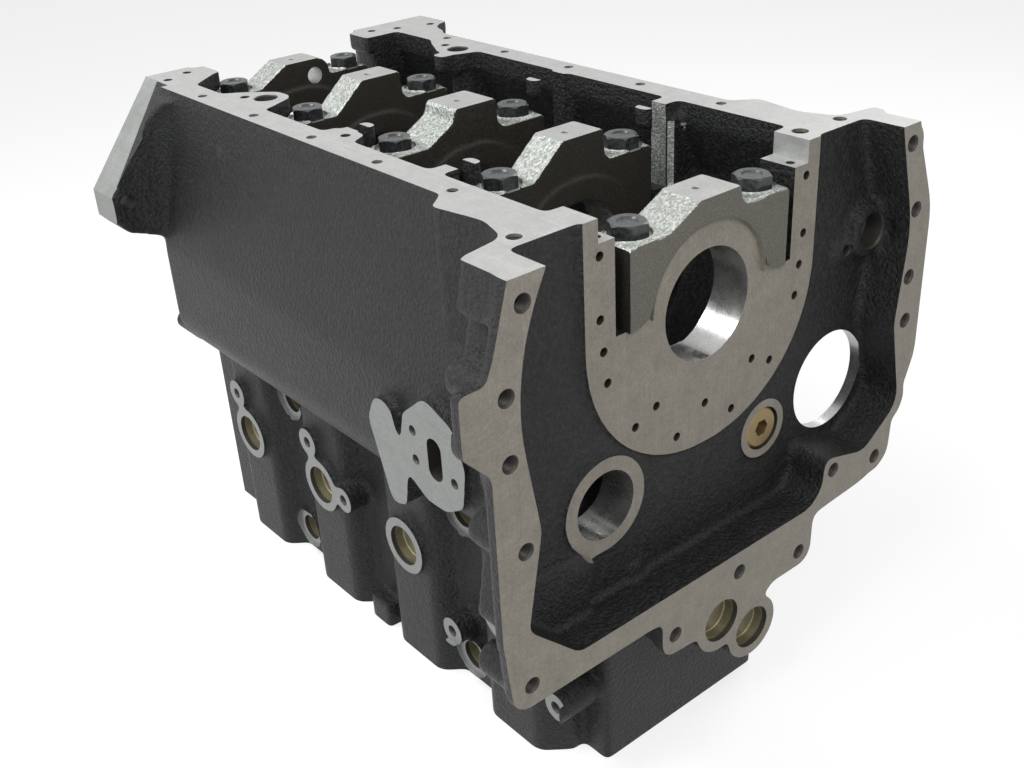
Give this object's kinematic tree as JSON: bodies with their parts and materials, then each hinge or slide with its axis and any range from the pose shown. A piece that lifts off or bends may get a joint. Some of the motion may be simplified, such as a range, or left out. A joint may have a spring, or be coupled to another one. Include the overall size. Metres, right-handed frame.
{
  "type": "engine block",
  "caption": "Bare in-line engine block in cast iron, standing on its deck, with main bearing caps, flywheel flange and core plugs.",
  "frame": {"origin": "on the deck face, below the crank axis, in the middle plane of the centre main bearing", "axes": "+Z from the deck face to the sump rail, +Y along the crankshaft from the flywheel flange to the timing face, +X to the right seen from the flywheel flange"},
  "size_m": [0.437, 0.57, 0.4414],
  "materials": {
    "casting": "dark semi-gloss sand casting with machined faces",
    "cap_iron": "bare casting with ground faces",
    "bolt_steel": "black oxide",
    "plug_steel": "yellowish zinc plate",
    "plug_brass": "bright"
  },
  "bodies": {
    "root": {"cylinder_block": "casting", "main_cap_1": "cap_iron", "main_cap_bolt_1_left": "bolt_steel", "main_cap_bolt_1_right": "bolt_steel", "main_cap_2": "cap_iron", "main_cap_bolt_2_left": "bolt_steel", "main_cap_bolt_2_right": "bolt_steel", "main_cap_3": "cap_iron", "main_cap_bolt_3_left": "bolt_steel", "main_cap_bolt_3_right": "bolt_steel", "main_cap_4": "cap_iron", "main_cap_bolt_4_left": "bolt_steel", "main_cap_bolt_4_right": "bolt_steel", "main_cap_5": "cap_iron", "main_cap_bolt_5_left": "bolt_steel", "main_cap_bolt_5_right": "bolt_steel", "core_plug_left_1": "plug_steel", "core_plug_right_1": "plug_steel", "core_plug_left_2": "plug_steel", "core_plug_right_2": "plug_steel", "core_plug_left_3": "plug_steel", "core_plug_right_3": "plug_steel", "core_plug_left_4": "plug_steel", "core_plug_right_4": "plug_steel", "core_plug_upper_2": "plug_steel", "core_plug_lower_2": "plug_steel", "core_plug_upper_4": "plug_steel", "core_plug_lower_4": "plug_steel", "rear_plug_1": "plug_steel", "rear_plug_2": "plug_steel", "oil_gallery_plug": "plug_brass"}
  },
  "joints": []
}
